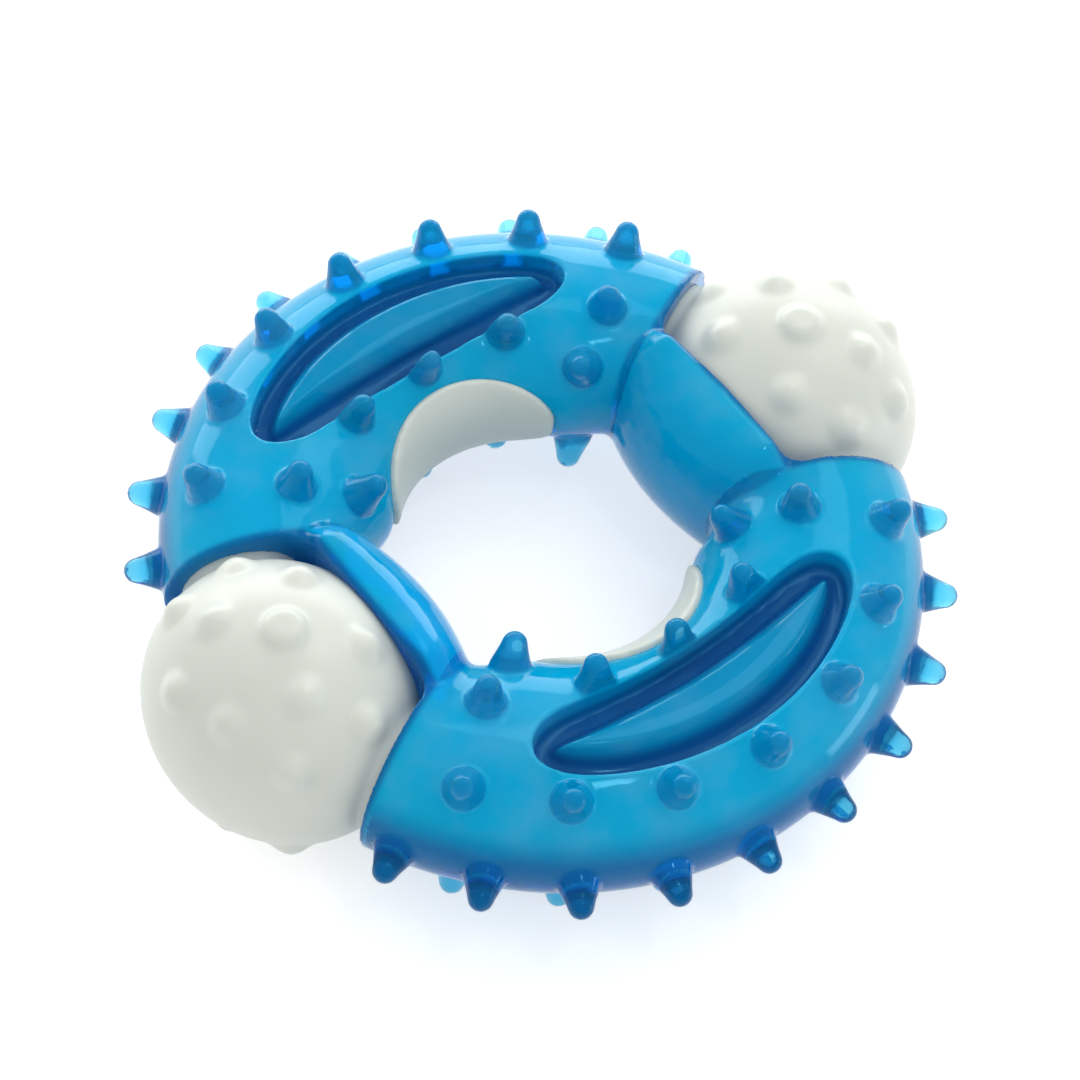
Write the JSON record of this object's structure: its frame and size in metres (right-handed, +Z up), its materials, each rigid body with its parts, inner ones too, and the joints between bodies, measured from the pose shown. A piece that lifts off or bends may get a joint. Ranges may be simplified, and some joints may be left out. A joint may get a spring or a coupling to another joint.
{
  "type": "ring chew toy",
  "caption": "Ring-shaped dog chew toy: a hard white core with nubbed knuckles at both ends, inside a soft translucent blue ring with spikes, ribbed recesses and windows.",
  "frame": {"origin": "centre of the ring, half way up", "axes": "+X along the line through both knuckles, +Y across the two spiked lobes, +Z up along the ring's axis"},
  "size_m": [0.1346, 0.1254, 0.0408],
  "materials": {
    "nylon": "hard moulded nylon, off-white, half gloss",
    "soft_rubber": "soft moulded thermoplastic rubber, clear blue, glossy"
  },
  "bodies": {
    "root": {"knuckle_core": "nylon", "spiked_ring": "soft_rubber"}
  },
  "joints": []
}
